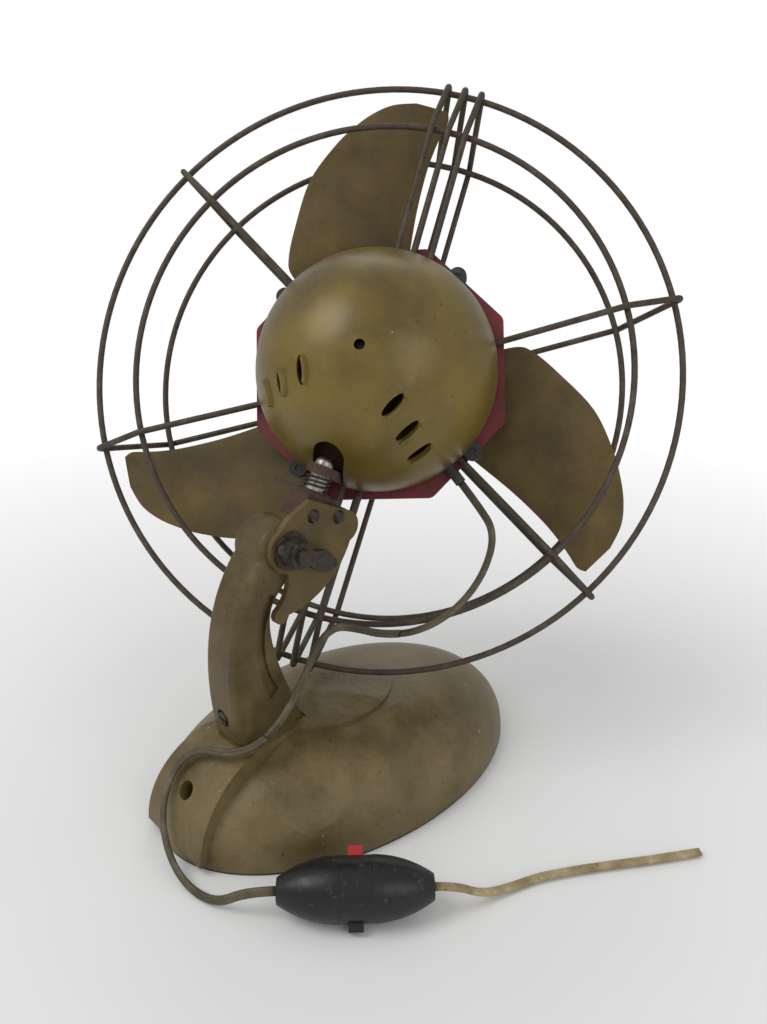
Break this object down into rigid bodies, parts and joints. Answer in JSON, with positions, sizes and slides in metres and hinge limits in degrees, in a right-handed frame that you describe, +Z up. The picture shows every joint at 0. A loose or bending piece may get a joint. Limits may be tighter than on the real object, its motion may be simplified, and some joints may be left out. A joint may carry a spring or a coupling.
{
  "type": "desk fan",
  "caption": "Vintage desk fan with a wire grille, domed motor, three blades, a tilting and swivelling head on a curved arm, an oval cast base and a lead with an in-line switch.",
  "frame": {"origin": "centre of the base's footprint, on the floor it stands on", "axes": "+Z up, +Y the way the base points and the air blows, +X to the right when seen from behind"},
  "size_m": [0.3068, 0.2691, 0.3218],
  "materials": {
    "base_paint": "worn olive-tan hammered paint on a casting",
    "arm_paint": "worn olive-tan paint",
    "dome_paint": "semi-gloss olive-tan paint, scuffed",
    "blade_paint": "dusty matt olive-tan paint",
    "bracket_paint": "dusty olive-tan paint",
    "rusty_iron": "dark rust",
    "cage_wire": "rusty, dull plated wire",
    "dark_steel": "dark, oiled steel",
    "bright_steel": "worn bright steel",
    "red_paint": "red paint",
    "rubber": "aged grey-black rubber",
    "lamination": "laminated iron",
    "copper": "enamelled copper wire",
    "bronze": "sintered bronze",
    "bakelite": "scuffed black moulding",
    "red_plastic": "red moulding",
    "lead": "aged two-core lead"
  },
  "bodies": {
    "stand": {"base_shell": "base_paint", "seat_ring": "rubber", "arm": "arm_paint", "arm_screw": "dark_steel", "base_bolt": "dark_steel", "base_washer": "dark_steel", "tilt_bolt": "dark_steel", "clamp_washer": "dark_steel", "lead_middle": "lead", "lead_lower": "lead", "lead_mains": "lead", "switch_cap_foot": "bakelite", "switch_cap_mains": "bakelite", "switch_band": "bakelite"},
    "wing": {"wing_nut": "dark_steel"},
    "bracket": {"tilt_plate": "bracket_paint", "saddle_block": "rusty_iron", "plate_rivets": "dark_steel", "swivel_stud": "bright_steel", "friction_plate": "rusty_iron", "spring_washer": "dark_steel", "friction_spring": "dark_steel", "lead_upper": "lead"},
    "head": {"rear_frame": "rusty_iron", "rear_dome": "dome_paint", "rear_bearing": "bronze", "stator_core": "lamination", "field_coils": "copper", "front_frame": "bracket_paint", "front_bearing": "bronze", "motor_screws": "dark_steel", "cage_plate": "red_paint", "plate_bushes": "rubber", "bush_screws": "dark_steel", "cord_gland": "rubber", "outer_ring": "cage_wire", "rear_ring": "cage_wire", "front_ring": "cage_wire", "single_spokes": "cage_wire", "triple_spokes": "cage_wire", "nose_cap": "red_paint"},
    "rotor": {"shaft": "bright_steel", "rotor_core": "lamination", "blade_1": "blade_paint", "blade_2": "blade_paint", "blade_3": "blade_paint", "blade_hub": "dark_steel", "blade_rivets": "dark_steel"},
    "push": {"push_bar": "bakelite", "push_bar_end": "red_plastic"}
  },
  "joints": [
    {"name": "head_tilt", "type": "hinge", "parent": "stand", "child": "bracket", "pos_m": [0, -0.037, 0.132], "axis": [1, 0, 0], "range_deg": [-3, 50], "deforming": ["lead_middle"]},
    {"name": "head_swivel", "type": "hinge", "parent": "bracket", "child": "head", "pos_m": [0, -0.02661, 0.126], "axis": [0, 0.5, 0.866], "range_deg": [-80, 18], "deforming": ["lead_upper"]},
    {"name": "fan_spin", "type": "hinge", "parent": "head", "child": "rotor", "pos_m": [-0.01998, 0.04291, 0.1914], "axis": [-0.5878, 0.7006, -0.4045], "continuous": true},
    {"name": "wing_nut_turn", "type": "hinge", "parent": "stand", "child": "wing", "pos_m": [0, -0.037, 0.132], "axis": [1, 0, 0], "range_deg": [-30, 330]},
    {"name": "switch_push", "type": "slide", "parent": "stand", "child": "push", "axis": [-0.5397, 0.4569, 0.7071], "range_m": [0, 0.0024]}
  ]
}
